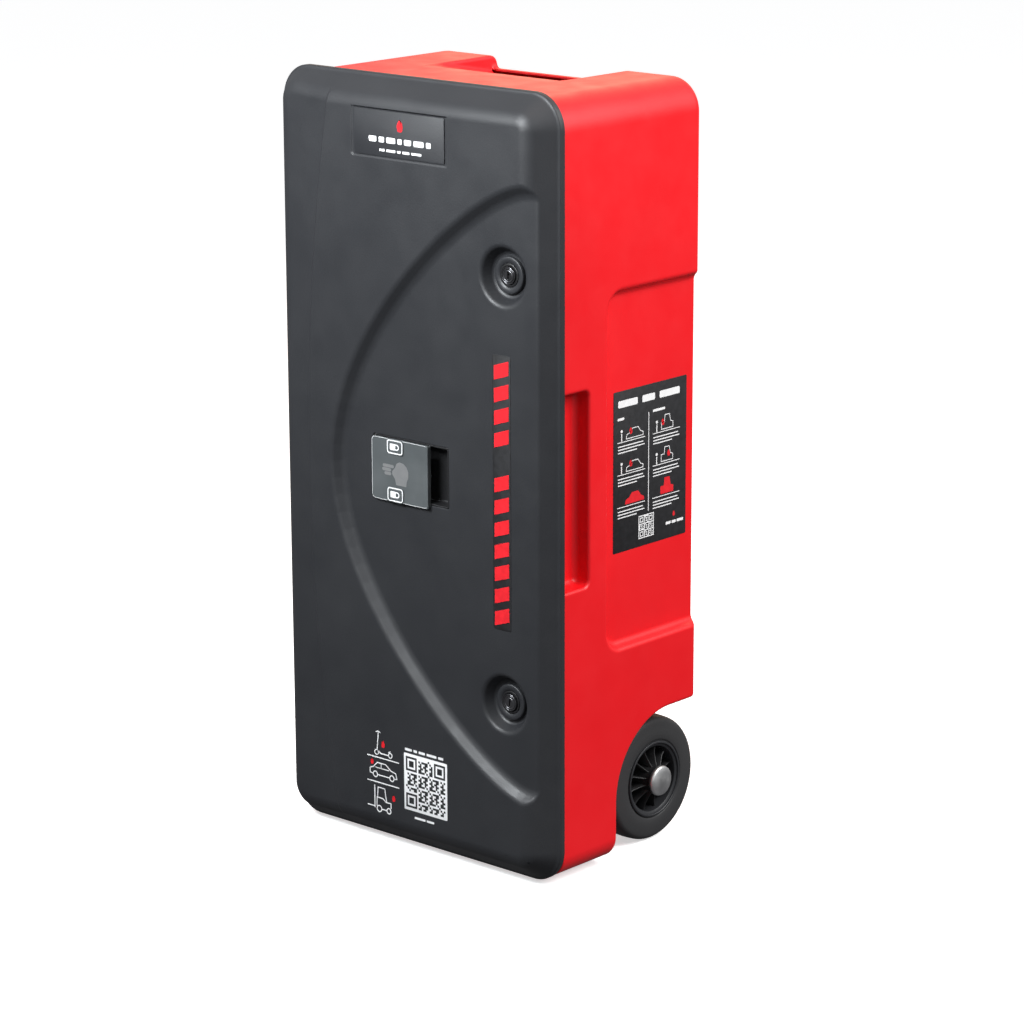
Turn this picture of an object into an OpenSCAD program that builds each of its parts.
// Wheeled case for a folded fire blanket: a tub with a side-hung door, two
// quarter-turn locks, a centre pull and a pair of wheels at the rear foot.
// Millimetres. X runs to the right seen from the door, Y to the back, Z up.
// Inside place() Y is 0 at the back plane of the door; the origin of the part
// is the middle of its bounding box on the ground.

/* [Case] */
// Height of the door
door_h = 1000; // [960:5:1040]
// Width of the door
door_w = 469; // [450:1:490]
// How far the door stands forward of its back plane
door_d = 40; // [38:1:46]
// Depth of the tub behind the door
tub_d = 267; // [255:1:280]
// Wall thickness of the tub
tub_wall = 5; // [4:0.5:6]
// Wall thickness of the door
door_wall = 4; // [3.5:0.5:5]
// Gap below the door
ground_gap = 4; // [3:1:10]

/* [Wheels] */
// Diameter of a wheel
wheel_d = 166; // [150:1:170]
// Width of a tyre
tyre_w = 44; // [38:1:46]
// Diameter of the axle
axle_d = 20; // [16:1:22]

/* [Hinges and locks] */
// Height of one hinge
hinge_h = 110; // [80:5:140]
// Diameter of the hinge pins
pin_d = 5; // [4:0.5:6]
// Length of a lock cam from its axis
cam_l = 55; // [50:1:60]
// Running clearance of every pin, axle and lock core, on the radius
run = 0.05; // [0.02:0.01:0.08]

/* [Blanket] */
// Height of the folded blanket
pack_h = 700; // [600:5:705]
// Width of the folded blanket
pack_w = 396; // [340:2:400]

/* [Hidden] */

fine = 64;

// Case
door_x = door_w / 2;                 // half width of the door rim
door_z0 = ground_gap;
door_z1 = ground_gap + door_h;
mid_z = (door_z0 + door_z1) / 2;
rim_t = 8;                           // rim of the door, measured along Y
rim_r = 45;                          // corner radius of the rim, seen from the front
face_inset = 28;                     // from the rim's edge to the raised face's edge
face_r = 26;
d_level = door_d - 11.5;             // the D-shaped field lies this far forward
parting = 1.5;                       // gap between door and tub
tub_x = door_x - 3.5;                // half width of the tub
tub_z0 = ground_gap + 5;
tub_z1 = door_z1 - 8;
tub_top_r = 42;
tub_foot_r = 30;
lip_t = 4;                           // lip around the tub's mouth, along Y
mouth_x = 200;                       // half width of the mouth
mouth_z0 = tub_z0 + 31;
mouth_z1 = tub_z1 - 31;
mouth_r = 25;

// Recesses of the tub
side_depth = 11;                     // long recess at the rear of each side
side_y0 = 90;
side_z0 = 294;
side_z1 = 745;
side_r = 22;
grip_depth = 22;                     // finger recess behind the door's rim
grip_y1 = 50;
grip_z0 = 384;
grip_z1 = 634;
valley_x = 113;                      // half width of the sunk middle of the top
valley_y0 = 140;
valley_z1 = tub_z1 - 24;             // its floor at the rear lip
rear_lip_y = tub_d - 12;
rear_lip_z = tub_z1 - 17;
hold_x = 86;                         // hand-hold under the rear lip
hold_z0 = 922;
hold_z1 = 966;
hold_depth = 34;

// Wheels
axle_y = 212;
axle_z = wheel_d / 2 + 1;
axle_r = axle_d / 2;
well_r = wheel_d / 2 + 23;
well_x = 150;                        // inner wall of each wheel well
wheel_x0 = 161;                      // inner face of a wheel
rim_seat_r = 51;                     // radius where tyre and hub meet
hub_x1 = 211;
axle_end = 216;
cap_r = 20;
cap_t = 9;

// Hinges
hinge_x = -door_x - 3.5;
hinge_y = 10;
barrel_r = 6;
pin_r = pin_d / 2;
leaf_t = 2;
leaf_door_w = 22;
leaf_body_y = 50;
knuckle_gap = 0.4;
hinge_zs = [mid_z + 274, mid_z - 270];
hinge_screw_dz = [-0.345 * hinge_h, 0, 0.345 * hinge_h];
screw_r = 2.6;

// Locks
lock_x = 159;
lock_zs = hinge_zs;
lock_pocket_r = 36.5;
lock_floor = 13;                     // floor of the lock pocket, forward of the back plane
lock_flange_r = 23.5;
lock_flange_t = 5;
lock_barrel_r = 15;
lock_core_r = 11;
cam_t = 3;
cam_w = 20;
cam_y = 6.5;

// Centre pull
tray = [-63.5, 67, mid_z - 34, mid_z + 45];   // x and z limits of the finger pocket
tray_wall = 2.5;
tray_y = -8;
paddle = [-61, 36, mid_z - 38, mid_z + 44];
paddle_front = 34.4;
paddle_t = 2.4;
paddle_axis = [-58, -29.6];
paddle_pin_r = 1.2;
paddle_barrel_r = 2.3;
ear_t = 3.2;
spring_l = 10;

// Blanket and straps
shelf_z = 203;
shelf_t = 6;
pack_z0 = shelf_z + shelf_t + 0.3;
pack_z1 = pack_z0 + pack_h;
pack_y = [26, 244];
strap_w = 40;
strap_t = 1.8;
strap_gap = 0.4;
strap_zs = [pack_z0 + 0.76 * pack_h, pack_z0 + 0.26 * pack_h];

x_shift = (-hinge_x + barrel_r - door_x) / 2;
print_t = 0.3;                       // thickness of printed films
y_shift = -(axle_y + wheel_d / 2 - door_d - print_t) / 2;

red = "#f0242c";
charcoal = "#3b3d40";
black = "#1b1c1e";
rubber = "#2c2d2f";
steel = "#b9bcc0";

// ---------- helpers ----------

module place() translate([x_shift, y_shift, 0]) children();

// Rectangle with rounded corners: rb at the lower pair, rt at the upper pair
module round_rect(x0, x1, z0, z1, rb, rt) {
    translate([x0, z0 + rb]) square([x1 - x0, z1 - z0 - rb - rt]);
    translate([x0 + rb, z0]) square([x1 - x0 - 2 * rb, rb + 1]);
    translate([x0 + rt, z1 - rt - 1]) square([x1 - x0 - 2 * rt, rt + 1]);
    for (x = [x0 + rb, x1 - rb]) translate([x, z0 + rb]) circle(r = rb, $fn = fine);
    for (x = [x0 + rt, x1 - rt]) translate([x, z1 - rt]) circle(r = rt, $fn = fine);
}

// Stands a flat XZ outline up and gives it a thickness from y0 to y1
module stand(y0, y1) translate([0, y1, 0]) rotate([90, 0, 0]) linear_extrude(y1 - y0) children();

module slab(y0, y1, x0, x1, z0, z1, rb, rt) stand(y0, y1) round_rect(x0, x1, z0, z1, rb, rt);

module block(x0, x1, y0, y1, z0, z1) translate([x0, y0, z0]) cube([x1 - x0, y1 - y0, z1 - z0]);

module rod_y(x, z, y0, y1, r1, r2, n = fine)
    translate([x, y0, z]) rotate([-90, 0, 0]) cylinder(h = y1 - y0, r1 = r1, r2 = r2, $fn = n);

module rod_x(y, z, x0, x1, r) translate([x0, y, z]) rotate([0, 90, 0]) cylinder(h = x1 - x0, r = r, $fn = fine);

module rod_z(x, y, z0, z1, r) translate([x, y, z0]) cylinder(h = z1 - z0, r = r, $fn = fine);

// A YZ outline given a width along X
module across(x0, x1) translate([x0, 0, 0]) rotate([90, 0, 90]) linear_extrude(x1 - x0) children();

// Draws the right-hand piece, or its mirror image on the left
module on_side(side) {
    if (side < 0) mirror([1, 0, 0]) children();
    else children();
}

function bezier(a, b, c, d, t) =
    pow(1 - t, 3) * a + 3 * pow(1 - t, 2) * t * b + 3 * (1 - t) * t * t * c + pow(t, 3) * d;

// ---------- tub ----------

module side_recess(depth, grow, y1) {
    across(tub_x - depth - grow, tub_x + 20) {
        translate([side_y0 - grow + side_r, side_z0 - grow]) square([y1, side_z1 - side_z0 + 2 * grow]);
        translate([side_y0 - grow, side_z0 - grow + side_r]) square([y1, side_z1 - side_z0 + 2 * (grow - side_r)]);
        for (z = [side_z0 - grow + side_r, side_z1 + grow - side_r])
            translate([side_y0 - grow + side_r, z]) circle(r = side_r, $fn = fine);
    }
}

module grip_recess(grow) {
    block(tub_x - grip_depth - grow, tub_x + 20, -1, grip_y1 + grow, grip_z0 - grow, grip_z1 + grow);
}

module wheel_well(grow) {
    rod_x(axle_y, axle_z, well_x - grow, tub_x + 20, well_r + grow);
    block(well_x - grow, tub_x + 20, axle_y - well_r - grow, tub_d + 20, -1, axle_z);
    block(well_x - grow, tub_x + 20, axle_y, tub_d + 20, axle_z - 1, axle_z + well_r + grow);
}

module valley(grow) {
    x = valley_x + grow;
    across(-x, x) polygon([
        [valley_y0 - grow, tub_z1 + 20], [valley_y0 - grow, tub_z1 - 2 - grow],
        [rear_lip_y, valley_z1 + 1 - grow], [rear_lip_y, rear_lip_z - grow],
        [tub_d + 20, rear_lip_z - grow], [tub_d + 20, tub_z1 + 20]
    ]);
}

module rear_hold(grow)
    slab(tub_d - hold_depth - grow, tub_d + 20, -hold_x - grow, hold_x + grow, hold_z0 - grow,
        hold_z1 + grow, 14, 8);

// The rear lower corner is cut back so that the case can be tipped onto its wheels
module heel(grow) across(-tub_x - 20, tub_x + 20) polygon([
    [235 - grow, -1], [235 - grow, tub_z0], [tub_d - grow, 120], [tub_d + 20, 120], [tub_d + 20, -1]
]);

module body_shell() place() color(red) difference() {
    slab(parting, tub_d, -tub_x, tub_x, tub_z0, tub_z1, tub_foot_r, tub_top_r);
    valley(0);
    rear_hold(0);
    heel(0);
    for (side = [-1, 1]) on_side(side) {
        side_recess(side_depth, 0, tub_d);
        grip_recess(0);
        wheel_well(0);
        rod_x(axle_y, axle_z, well_x - tub_wall - 2, well_x + 2, axle_r + run);
    }
    slab(0, parting + lip_t + 1, -mouth_x, mouth_x, mouth_z0, mouth_z1, mouth_r, mouth_r);
    difference() {
        slab(parting + lip_t, tub_d - tub_wall, -tub_x + tub_wall, tub_x - tub_wall,
            tub_z0 + tub_wall, tub_z1 - tub_wall, tub_foot_r - tub_wall, tub_top_r - tub_wall);
        valley(tub_wall);
        rear_hold(tub_wall);
        heel(tub_wall);
        for (side = [-1, 1]) on_side(side) {
            side_recess(side_depth, tub_wall, tub_d);
            grip_recess(tub_wall);
            wheel_well(tub_wall);
        }
    }
}

module foot(side, y, x) place() color(rubber) on_side(side) {
    rod_z(x, y, 0, tub_z0, 15);
    rod_z(x, y, tub_z0, tub_z0 + tub_wall + 3, 4);
}

module foot_front_left() foot(-1, 48, 168);
module foot_front_right() foot(1, 48, 168);
module foot_rear_left() foot(-1, 200, 112);
module foot_rear_right() foot(1, 200, 112);

module instruction_label() place() color(black)
    block(tub_x - side_depth, tub_x - side_depth + 0.4, 108, 252, mid_z - 93, mid_z + 115);

// Steel plate behind the tub's lip that a lock cam bears on
module strike(z) place() color(steel) difference() {
    block(mouth_x + 1, tub_x - tub_wall - 1, parting + lip_t, parting + lip_t + 0.6, z - 34, z + 34);
    for (dz = [-26, 26]) rod_y(215, z + dz, 0, 12, 2, 2, 32);
}

module strike_upper() strike(lock_zs[0]);
module strike_lower() strike(lock_zs[1]);

// ---------- blanket ----------

module blanket_shelf() place() color(charcoal) difference() {
    slab_y0 = parting + lip_t + 2;
    block(-tub_x + 18, tub_x - 18, slab_y0, tub_d - tub_wall - 1, shelf_z, shelf_z + shelf_t);
    for (x = [-120, 120]) translate([x, 120, 0]) rod_z(0, 0, shelf_z - 1, shelf_z + shelf_t + 1, 16);
}

module blanket_pack() place() color("#b9b6ac") translate([0, pack_y[0], pack_z0]) hull() {
    d = pack_y[1] - pack_y[0];
    for (x = [-1, 1], y = [18, d - 18], z = [18, pack_h - 18])
        translate([x * (pack_w / 2 - 18), y, z]) sphere(r = 18, $fn = 24);
}

module strap(z) place() color(black) {
    x = pack_w / 2 + strap_gap;
    y = pack_y[0] - strap_gap;
    difference() {
        block(-x - strap_t, x + strap_t, y - strap_t, tub_d - tub_wall - 3, z - strap_w / 2, z + strap_w / 2);
        block(-x, x, y, tub_d, z - strap_w, z + strap_w);
    }
}

module strap_upper() strap(strap_zs[0]);
module strap_lower() strap(strap_zs[1]);

module strap_buckle(z) place() color(charcoal) {
    y = pack_y[0] - strap_gap - strap_t;
    slab(y - 6.5, y, -28, 28, z - 25, z + 25, 6, 6);
}

module strap_buckle_upper() strap_buckle(strap_zs[0]);
module strap_buckle_lower() strap_buckle(strap_zs[1]);

// One plate at each side of the tub's rear wall, where a strap's two ends are sewn in
module strap_anchors() place() color(steel) for (side = [-1, 1], z = strap_zs) on_side(side)
    block(pack_w / 2 - 24, pack_w / 2 + strap_gap + strap_t + 4, tub_d - tub_wall - 3,
        tub_d - tub_wall, z - strap_w / 2, z + strap_w / 2);

// Webbing loop that the blanket is drawn out by
module pull_loop(side) place() color(red) on_side(side) {
    z = (strap_zs[0] + strap_zs[1]) / 2;
    y = pack_y[0] - strap_gap;
    difference() {
        slab(y - 3, y, 60, 150, z - 90, z + 90, 44, 44);
        slab(y - 4, y + 1, 85, 125, z - 65, z + 65, 19, 19);
    }
}

module pull_loop_left() pull_loop(-1);
module pull_loop_right() pull_loop(1);

// ---------- hinges ----------

// The barrel is shared in three: the tub's leaf has the two ends, the door's the middle
module hinge_barrel(z, own) {
    third = hinge_h / 3;
    for (k = own) rod_z(hinge_x, hinge_y, z - hinge_h / 2 + k * third + knuckle_gap / 2,
        z - hinge_h / 2 + (k + 1) * third - knuckle_gap / 2, barrel_r);
}

module hinge_bore(z) rod_z(hinge_x, hinge_y, z - hinge_h, z + hinge_h, pin_r + run);

module hinge_body_leaf(z) place() color(steel) difference() {
    third = hinge_h / 3;
    union() {
        hinge_barrel(z, [0, 2]);
        for (k = [0, 2])
            block(-tub_x - leaf_t, -tub_x, hinge_y, leaf_body_y, z - hinge_h / 2 + k * third + knuckle_gap / 2,
                z - hinge_h / 2 + (k + 1) * third - knuckle_gap / 2);
        block(-tub_x - leaf_t, -tub_x, hinge_y + barrel_r + 2, leaf_body_y, z - hinge_h / 2 + 1,
            z + hinge_h / 2 - 1);
    }
    hinge_bore(z);
    for (dz = hinge_screw_dz) rod_x(leaf_body_y - 12, z + dz, -tub_x - 5, -tub_x + 1, screw_r);
}

module hinge_body_leaf_upper() hinge_body_leaf(hinge_zs[0]);
module hinge_body_leaf_lower() hinge_body_leaf(hinge_zs[1]);

module hinge_body_screws(z) place() color(steel) for (dz = hinge_screw_dz) {
    rod_x(leaf_body_y - 12, z + dz, -tub_x - leaf_t - 2.2, -tub_x - leaf_t, screw_r + 2);
    rod_x(leaf_body_y - 12, z + dz, -tub_x - leaf_t - 1, -tub_x, screw_r - 0.05);
}

module hinge_body_screws_upper() hinge_body_screws(hinge_zs[0]);
module hinge_body_screws_lower() hinge_body_screws(hinge_zs[1]);

module hinge_door_leaf(z) place() color(steel) difference() {
    third = hinge_h / 3;
    x0 = -door_x + 0.5;
    union() {
        hinge_barrel(z, [1]);
        block(x0, x0 + leaf_door_w, -leaf_t, 0, z - hinge_h / 2, z + hinge_h / 2);
        block(x0, x0 + leaf_t, -leaf_t, hinge_y - barrel_r - 0.6, z - hinge_h / 2, z + hinge_h / 2);
        block(x0, x0 + leaf_t, -leaf_t, hinge_y, z - third / 2 + knuckle_gap / 2, z + third / 2 - knuckle_gap / 2);
    }
    hinge_bore(z);
    for (dz = hinge_screw_dz) rod_y(x0 + 13, z + dz, -3, 1, screw_r, screw_r);
}

module hinge_door_leaf_upper() hinge_door_leaf(hinge_zs[0]);
module hinge_door_leaf_lower() hinge_door_leaf(hinge_zs[1]);

// Countersunk heads, flush with the leaf
module hinge_door_screws(z) place() color(steel)
    for (dz = hinge_screw_dz) rod_y(-door_x + 13.5, z + dz, -leaf_t, 0, screw_r - 0.05, screw_r - 0.05);

module hinge_door_screws_upper() hinge_door_screws(hinge_zs[0]);
module hinge_door_screws_lower() hinge_door_screws(hinge_zs[1]);

module hinge_pin(z) place() color(steel) {
    rod_z(hinge_x, hinge_y, z - hinge_h / 2 - 1, z + hinge_h / 2 + 1, pin_r);
    rod_z(hinge_x, hinge_y, z + hinge_h / 2 + 0.3, z + hinge_h / 2 + 2.5, pin_r + 1.6);
    rod_z(hinge_x, hinge_y, z - hinge_h / 2 - 2.5, z - hinge_h / 2 - 0.3, pin_r + 1.6);
}

module hinge_pin_upper() hinge_pin(hinge_zs[0]);
module hinge_pin_lower() hinge_pin(hinge_zs[1]);

// ---------- door ----------

// The D-shaped sunk field: a curved edge on the left, open at the right
module d_outline(grow) {
    nose = [-128 - grow, mid_z];
    tip_x = 205;
    half = 390.5 + grow;
    steps = 14;
    upper = [for (i = [0 : steps]) bezier(nose, nose + [0, 187], [tip_x - 76, mid_z + half],
        [tip_x, mid_z + half], i / steps)];
    lower = [for (i = [steps : -1 : 1]) [upper[i][0], 2 * mid_z - upper[i][1]]];
    polygon(concat(upper, [[door_x + 10, mid_z + half], [door_x + 10, mid_z - half]], lower));
}

// Rim, sloped sides and raised face
module door_outer() {
    slab(-rim_t, 0, -door_x, door_x, door_z0, door_z1, rim_r, rim_r);
    hull() {
        slab(-rim_t, -rim_t + 1, -door_x + 2, door_x - 2, door_z0 + 2, door_z1 - 2, rim_r - 2, rim_r - 2);
        slab(-door_d, -door_d + 1, -door_x + face_inset, door_x - face_inset, door_z0 + face_inset,
            door_z1 - face_inset, face_r, face_r);
    }
}

// Hollow behind the face, undercut behind the flange that carries the seal
module door_inner() {
    flange_t = 6;
    edge = 12;
    slab(-flange_t - 1, 1, -mouth_x + 1, mouth_x - 1, mouth_z0 - 1, mouth_z1 + 1, mouth_r, mouth_r);
    hull() {
        slab(-flange_t - 1, -flange_t, -door_x + edge, door_x - edge, door_z0 + edge, door_z1 - edge, 34, 34);
        slab(-door_d + door_wall, -door_d + door_wall + 1, -door_x + face_inset + 5, door_x - face_inset - 5,
            door_z0 + face_inset + 5, door_z1 - face_inset - 5, face_r, face_r);
    }
}

module door_shell() place() color(charcoal) difference() {
    door_outer();
    stand(-door_d - 1, -d_level) d_outline(0);
    difference() {
        door_inner();
        stand(-door_d, -d_level + door_wall) d_outline(8);
        for (z = lock_zs) rod_y(lock_x, z, -door_d, -lock_floor + 9, lock_pocket_r + 3, lock_pocket_r - 2);
        block(tray[0] - 3, tray[1] + 3, -door_d, tray_y + 1, tray[2] - 3, tray[3] + 3);
    }
    for (z = lock_zs) {
        rod_y(lock_x, z, -d_level - 1, -lock_floor, lock_pocket_r + 0.4, lock_pocket_r - 8);
        rod_y(lock_x, z, -door_d, 1, lock_barrel_r + run, lock_barrel_r + run);
    }
    slab(-door_d, tray_y, tray[0], tray[1], tray[2], tray[3], 4, 4);
    block(-83, 78, -door_d - 1, -door_d + 1.5, mid_z + 401, mid_z + 462);
    for (z = hinge_zs) block(-door_x - 1, -door_x + leaf_door_w + 0.8, -leaf_t - 0.1, 1, z - hinge_h / 2 - 0.4,
        z + hinge_h / 2 + 0.4);
    difference() {
        slab(-2.2, 1, -mouth_x - 9, mouth_x + 9, mouth_z0 - 9, mouth_z1 + 9, mouth_r + 8, mouth_r + 8);
        slab(-3, 2, -mouth_x - 3, mouth_x + 3, mouth_z0 - 3, mouth_z1 + 3, mouth_r + 2, mouth_r + 2);
    }
}

module door_seal() place() color(black) difference() {
    slab(-2.2, parting - 0.3, -mouth_x - 8.8, mouth_x + 8.8, mouth_z0 - 8.8, mouth_z1 + 8.8, mouth_r + 8, mouth_r + 8);
    slab(-3, 2, -mouth_x - 3.2, mouth_x + 3.2, mouth_z0 - 3.2, mouth_z1 + 3.2, mouth_r + 2, mouth_r + 2);
}

// ---------- locks ----------

module lock_housing(z) place() color(black) difference() {
    union() {
        rod_y(lock_x, z, -lock_floor - lock_flange_t, -lock_floor, lock_flange_r - 1.5, lock_flange_r);
        rod_y(lock_x, z, -lock_floor - 1, 4.4, lock_barrel_r, lock_barrel_r);
    }
    rod_y(lock_x, z, -door_d, 10, lock_core_r + run, lock_core_r + run);
}

module lock_housing_upper() lock_housing(lock_zs[0]);
module lock_housing_lower() lock_housing(lock_zs[1]);

module lock_nut(z) place() color(steel) difference() {
    rod_y(lock_x, z, -lock_floor + 9, 2, 21, 21, 6);
    rod_y(lock_x, z, -door_d, 10, lock_barrel_r + run, lock_barrel_r + run);
}

module lock_nut_upper() lock_nut(lock_zs[0]);
module lock_nut_lower() lock_nut(lock_zs[1]);

// Turned by a key: a round core with a keyway and a square tail for the cam
module lock_core(z) place() color(steel) difference() {
    union() {
        rod_y(lock_x, z, -lock_floor - lock_flange_t - 1.5, 5, lock_core_r, lock_core_r);
        block(lock_x - 4, lock_x + 4, 4, cam_y + cam_t, z - 4, z + 4);
    }
    block(lock_x - 1.2, lock_x + 1.2, -door_d, -lock_floor + 2, z - 5, z + 5);
    rod_y(lock_x, z, 0, 20, 2, 2, 32);
}

module lock_core_upper() lock_core(lock_zs[0]);
module lock_core_lower() lock_core(lock_zs[1]);

module lock_cam(z) place() color(steel) difference() {
    stand(cam_y, cam_y + cam_t) union() {
        translate([lock_x, z]) circle(r = cam_w / 2, $fn = fine);
        translate([lock_x - cam_w / 2, z]) square([cam_w, cam_l - cam_w / 4]);
        translate([lock_x - cam_w / 4, z]) square([cam_w / 2, cam_l]);
        for (dx = [-1, 1]) translate([lock_x + dx * cam_w / 4, z + cam_l - cam_w / 4])
            circle(r = cam_w / 4, $fn = fine);
    }
    block(lock_x - 4.05, lock_x + 4.05, 0, 20, z - 4.05, z + 4.05);
}

module lock_cam_upper() lock_cam(lock_zs[0]);
module lock_cam_lower() lock_cam(lock_zs[1]);

module lock_screw(z) place() color(steel) {
    rod_y(lock_x, z, 1, cam_y + cam_t + 1, 1.95, 1.95, 32);
    rod_y(lock_x, z, cam_y + cam_t, cam_y + cam_t + 2, 7, 7);
    rod_y(lock_x, z, cam_y + cam_t + 2, cam_y + cam_t + 5, 4.5, 4, 6);
}

module lock_screw_upper() lock_screw(lock_zs[0]);
module lock_screw_lower() lock_screw(lock_zs[1]);

// ---------- centre pull ----------

// Eye that holds one end of the paddle's pin, on a neck back to the pocket's wall
module pin_ear(z0) {
    rod_z(paddle_axis[0], paddle_axis[1], z0, z0 + ear_t, paddle_barrel_r);
    block(paddle_axis[0] - paddle_barrel_r, paddle_axis[0] + paddle_barrel_r, paddle_axis[1], -20, z0, z0 + ear_t);
}

module latch_pocket() place() color(black) difference() {
    union() {
        difference() {
            slab(-d_level, tray_y - 0.1, tray[0] + 0.1, tray[1] - 0.1, tray[2] + 0.1, tray[3] - 0.1, 4, 4);
            slab(-door_d, tray_y - tray_wall, tray[0] + tray_wall, tray[1] - tray_wall, tray[2] + tray_wall,
                tray[3] - tray_wall, 2, 2);
        }
        pin_ear(tray[2] + 0.6);
        pin_ear(tray[3] - 0.6 - ear_t);
    }
    rod_z(paddle_axis[0], paddle_axis[1], tray[2] - 1, tray[3] + 1, paddle_pin_r + run);
}

module paddle_pin() place() color(steel) {
    rod_z(paddle_axis[0], paddle_axis[1], tray[2] + 1, tray[3] - 1, paddle_pin_r);
}

module paddle_spring() place() color(steel) difference() {
    rod_z(paddle_axis[0], paddle_axis[1], mid_z, mid_z + spring_l, paddle_barrel_r - 0.1);
    rod_z(paddle_axis[0], paddle_axis[1], mid_z - 1, mid_z + spring_l + 1, paddle_pin_r + 0.3);
}

// Part of the paddle's barrel, with the web that joins it to the plate
module paddle_knuckle(z0, z1) {
    r = paddle_barrel_r;
    rod_z(paddle_axis[0], paddle_axis[1], z0, z1, r);
    block(paddle_axis[0] - r, paddle_axis[0] + r, -paddle_front + paddle_t - 0.2, paddle_axis[1], z0, z1);
}

module pull_paddle() place() color([0.75, 0.78, 0.8, 0.5]) difference() {
    gap = 0.4;
    union() {
        slab(-paddle_front, -paddle_front + paddle_t, paddle[0], paddle[1], paddle[2], paddle[3], 6, 6);
        paddle_knuckle(tray[2] + 0.6 + ear_t + gap, mid_z - gap);
        paddle_knuckle(mid_z + spring_l + gap, tray[3] - 0.6 - ear_t - gap);
    }
    rod_z(paddle_axis[0], paddle_axis[1], tray[2], tray[3], paddle_pin_r + run);
}

// Breakable clear tabs with a window, one at each end of the paddle
module seal_tab(z) place() color([0.9, 0.9, 0.92, 0.8])
    slab(-paddle_front - 1, -paddle_front, -34, -5, z - 10, z + 10, 3, 3);

module seal_tab_upper() seal_tab(paddle[3] - 10);
module seal_tab_lower() seal_tab(paddle[2] + 10);

// ---------- markings ----------

module name_plate() place() color(black)
    block(-79, 74, -door_d + 0.1, -door_d + 1.5, mid_z + 403, mid_z + 460);

// A plain flame, drawn as a leaf shape from two arcs
module flame(r) intersection() {
    translate([-0.62 * r, 0]) circle(r = r, $fn = fine);
    translate([0.62 * r, 0]) circle(r = r, $fn = fine);
}

module name_plate_emblem() place() color(red) stand(-door_d - 0.2, -door_d + 0.1)
    translate([0, mid_z + 440]) flame(15);

module marking_strip() place() color(black)
    block(141, 171, -d_level - print_t, -d_level, mid_z - 174, mid_z + 176);

// Slanted hazard bars in two groups on the strip
module marking_stripes() place() color(red) stand(-d_level - 2 * print_t, -d_level - print_t)
    for (k = [0 : 11]) if (k != 4)
        translate([144, mid_z + 144 - k * 28.5]) polygon([[0, 0], [24, 8], [24, 26], [0, 18]]);

module code_panel() place() color("white") block(-5, 70.5, -door_d - print_t, -door_d, 61.5, 138);

module icon_panel() place() color("white") stand(-door_d - print_t, -door_d) {
    for (z = [86, 120]) translate([-71, z]) square([57, 1.5]);
    for (z = [60, 98, 142]) translate([-60, z - 8]) square([36, 14]);
}

// ---------- wheels ----------

// Profiles are drawn as [radius, place along the axle] and spun about the axle
module wheel_spin() translate([0, axle_y, axle_z]) rotate([0, 90, 0]) rotate_extrude($fn = fine) children();

module tyre(side) place() color(rubber) on_side(side) wheel_spin() {
    r1 = wheel_d / 2;
    shoulder = 9;
    translate([rim_seat_r, wheel_x0]) square([r1 - rim_seat_r - shoulder, tyre_w]);
    translate([rim_seat_r, wheel_x0 + shoulder]) square([r1 - rim_seat_r, tyre_w - 2 * shoulder]);
    for (x = [wheel_x0 + shoulder, wheel_x0 + tyre_w - shoulder])
        translate([r1 - shoulder, x]) circle(r = shoulder, $fn = 32);
}

module tyre_left() tyre(-1);
module tyre_right() tyre(1);

// Rim, thin web, ribs on both faces and a long boss
module wheel_hub(side) place() color(black) on_side(side) difference() {
    union() {
        wheel_spin() {
            translate([rim_seat_r - 8, wheel_x0 + 2]) square([8, tyre_w + 1]);
            translate([12, wheel_x0 + 14]) square([rim_seat_r - 14, 6]);
            translate([axle_r - 2, wheel_x0]) square([10, hub_x1 - wheel_x0]);
        }
        for (k = [0 : 11]) translate([0, axle_y, axle_z]) rotate([k * 30, 0, 0])
            block(wheel_x0 + 15, wheel_x0 + tyre_w - 4, 15, rim_seat_r - 6, -1.2, 1.2);
    }
    rod_x(axle_y, axle_z, 0, 260, axle_r + run);
}

module wheel_hub_left() wheel_hub(-1);
module wheel_hub_right() wheel_hub(1);

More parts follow.
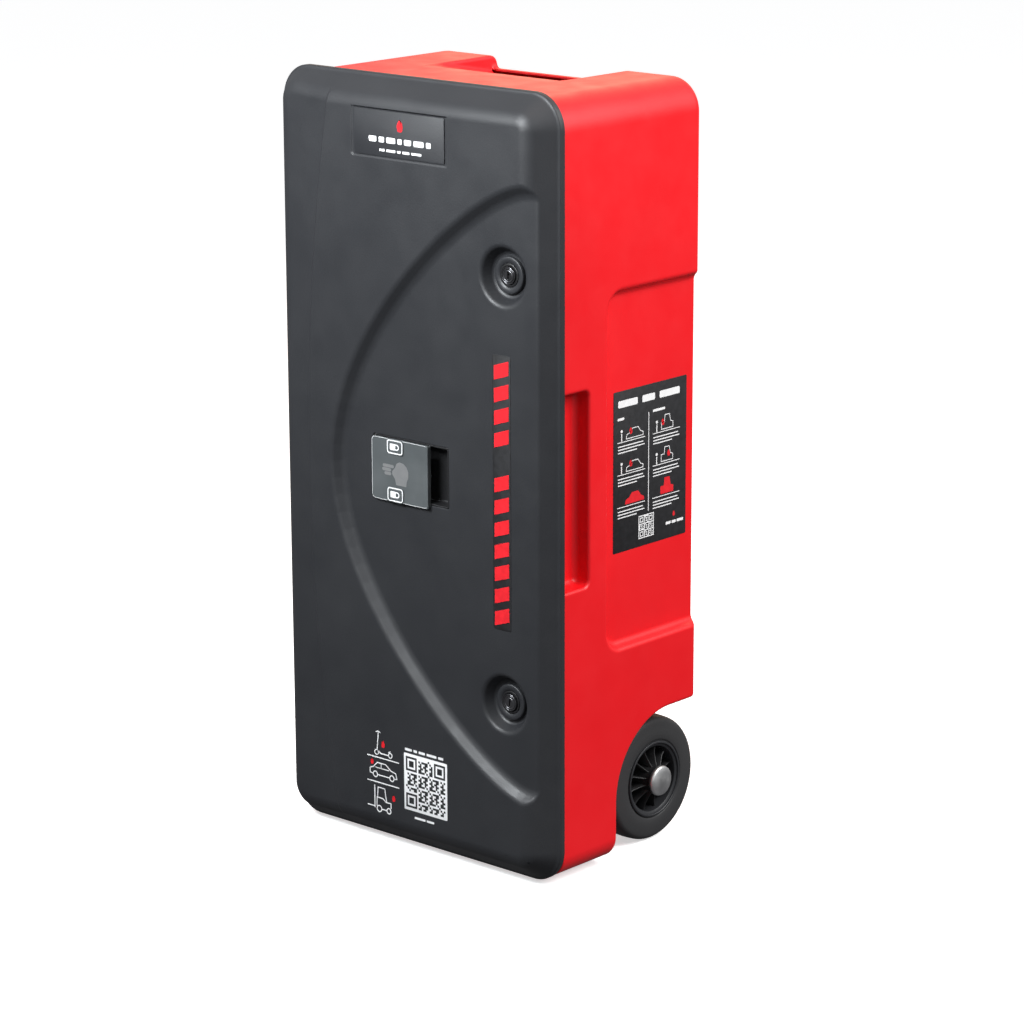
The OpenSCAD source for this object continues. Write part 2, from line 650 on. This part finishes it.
module wheel_spacer(side) place() color(black) on_side(side) difference() {
    rod_x(axle_y, axle_z, well_x + 0.2, wheel_x0 - 0.4, axle_r + 7);
    rod_x(axle_y, axle_z, well_x - 1, wheel_x0 + 1, axle_r + run);
}

module wheel_spacer_left() wheel_spacer(-1);
module wheel_spacer_right() wheel_spacer(1);

module axle() place() color(steel) rod_x(axle_y, axle_z, -axle_end, axle_end, axle_r);

// Domed push-on cap over the end of the axle
module axle_cap(side) place() color(steel) on_side(side) difference() {
    wheel_spin() {
        translate([0, hub_x1 + 0.5]) square([cap_r, cap_t - 4]);
        intersection() {
            dome_r = (cap_r * cap_r + 16) / 8;
            translate([0, hub_x1 + 0.5 + cap_t - dome_r]) circle(r = dome_r, $fn = 128);
            translate([0, hub_x1 + 1]) square([cap_r, cap_t]);
        }
    }
    rod_x(axle_y, axle_z, hub_x1, axle_end, axle_r);
}

module axle_cap_left() axle_cap(-1);
module axle_cap_right() axle_cap(1);

body_shell();
blanket_shelf();
blanket_pack();
axle();
foot_front_left();
foot_front_right();
foot_rear_left();
foot_rear_right();
strap_upper();
strap_lower();
strap_buckle_upper();
strap_buckle_lower();
strap_anchors();
pull_loop_left();
pull_loop_right();
instruction_label();
strike_upper();
strike_lower();
hinge_body_leaf_upper();
hinge_body_leaf_lower();
hinge_pin_upper();
hinge_pin_lower();
hinge_body_screws_upper();
hinge_body_screws_lower();
door_shell();
door_seal();
hinge_door_leaf_upper();
hinge_door_leaf_lower();
hinge_door_screws_upper();
hinge_door_screws_lower();
lock_housing_upper();
lock_housing_lower();
lock_nut_upper();
lock_nut_lower();
lock_core_upper();
lock_core_lower();
lock_cam_upper();
lock_cam_lower();
lock_screw_upper();
lock_screw_lower();
latch_pocket();
paddle_pin();
paddle_spring();
pull_paddle();
seal_tab_upper();
seal_tab_lower();
name_plate();
name_plate_emblem();
marking_strip();
marking_stripes();
code_panel();
icon_panel();
tyre_left();
tyre_right();
wheel_hub_left();
wheel_hub_right();
wheel_spacer_left();
wheel_spacer_right();
axle_cap_left();
axle_cap_right();
